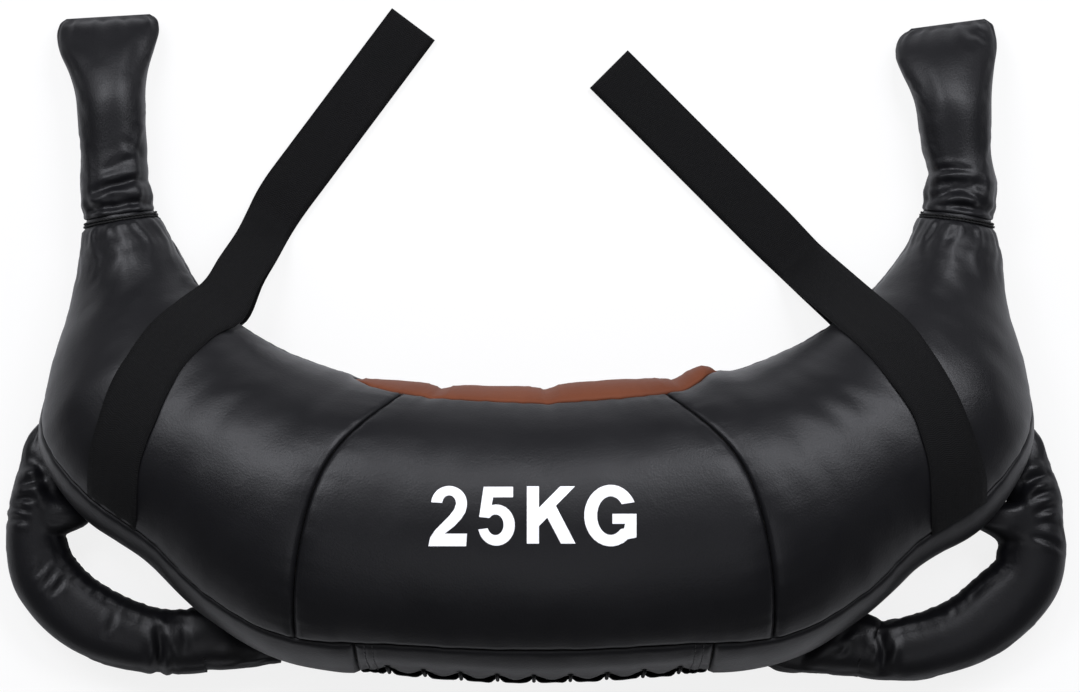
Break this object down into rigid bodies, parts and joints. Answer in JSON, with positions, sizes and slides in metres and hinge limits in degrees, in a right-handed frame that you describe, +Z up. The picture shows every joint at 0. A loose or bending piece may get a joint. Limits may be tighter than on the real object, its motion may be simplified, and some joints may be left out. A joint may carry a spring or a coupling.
{
  "type": "crescent training bag",
  "caption": "Crescent-shaped sand training bag lying on its back: leather body, upright grips, padded grab loops and webbing straps that hinge where they flex.",
  "frame": {"origin": "on the floor, on the flat underside of the back centre panel, in the middle of the crescent", "axes": "+X along the crescent, towards the right-hand wing; +Y towards the grips; +Z up, out of the front panels"},
  "size_m": [0.8268, 0.5342, 0.1798],
  "materials": {
    "black_leather": "semi-gloss, fine grain",
    "rust_leather": "matt, puckered",
    "black_webbing": "ribbed weave",
    "lace_cord": "braided",
    "sand_filled_fabric": "calico",
    "foam": "matt"
  },
  "bodies": {
    "bag": {"front_centre_panel": "black_leather", "front_left_panel": "black_leather", "front_right_panel": "black_leather", "back_centre_panel": "black_leather", "back_left_panel": "black_leather", "back_right_panel": "black_leather", "neck_pad": "rust_leather", "gusset_left": "black_leather", "gusset_right": "black_leather", "closure_front_flap": "black_leather", "closure_back_flap": "black_leather", "closure_tongue": "black_leather", "closure_lace": "lace_cord", "sand_liner_centre": "sand_filled_fabric", "sand_liner_left": "sand_filled_fabric", "sand_liner_right": "sand_filled_fabric", "left_neck_tie": "black_leather", "right_neck_tie": "black_leather", "left_strap_front_run": "black_webbing", "right_strap_front_run": "black_webbing", "left_strap_back_run": "black_webbing", "right_strap_back_run": "black_webbing", "left_loop_upper_root": "black_leather", "left_loop_lower_root": "black_leather", "right_loop_upper_root": "black_leather", "right_loop_lower_root": "black_leather"},
    "left_strap": {"left_strap_loop": "black_webbing"},
    "right_strap": {"right_strap_loop": "black_webbing"},
    "left_grip": {"left_grip_sleeve": "black_leather", "left_grip_core": "foam"},
    "right_grip": {"right_grip_sleeve": "black_leather", "right_grip_core": "foam"},
    "left_grab_loop": {"left_loop_sleeve": "black_leather", "left_loop_core": "foam"},
    "right_grab_loop": {"right_loop_sleeve": "black_leather", "right_loop_core": "foam"}
  },
  "joints": [
    {"name": "left_strap_lift", "type": "hinge", "parent": "bag", "child": "left_strap", "pos_m": [-0.20417, 0.25298, 0.00505], "axis": [0.8, -0.6, 0], "range_deg": [0, 100]},
    {"name": "right_strap_lift", "type": "hinge", "parent": "bag", "child": "right_strap", "pos_m": [0.20028, 0.22174, 0.00505], "axis": [0.7082, 0.7061, 0], "range_deg": [0, 100]},
    {"name": "left_grip_bend", "type": "hinge", "parent": "bag", "child": "left_grip", "pos_m": [-0.32753, 0.27629, 0.029], "axis": [0.9896, 0.1436, 0], "range_deg": [0, 60]},
    {"name": "right_grip_bend", "type": "hinge", "parent": "bag", "child": "right_grip", "pos_m": [0.33459, 0.27629, 0.029], "axis": [0.9896, -0.1436, 0], "range_deg": [0, 60]},
    {"name": "left_loop_flop", "type": "hinge", "parent": "bag", "child": "left_grab_loop", "pos_m": [-0.38769, 0.02415, 0.0215], "axis": [-0.6628, 0.7488, 0], "range_deg": [0, 60]},
    {"name": "right_loop_flop", "type": "hinge", "parent": "bag", "child": "right_grab_loop", "pos_m": [0.39159, 0.02415, 0.0215], "axis": [-0.6708, -0.7416, 0], "range_deg": [0, 60]}
  ]
}
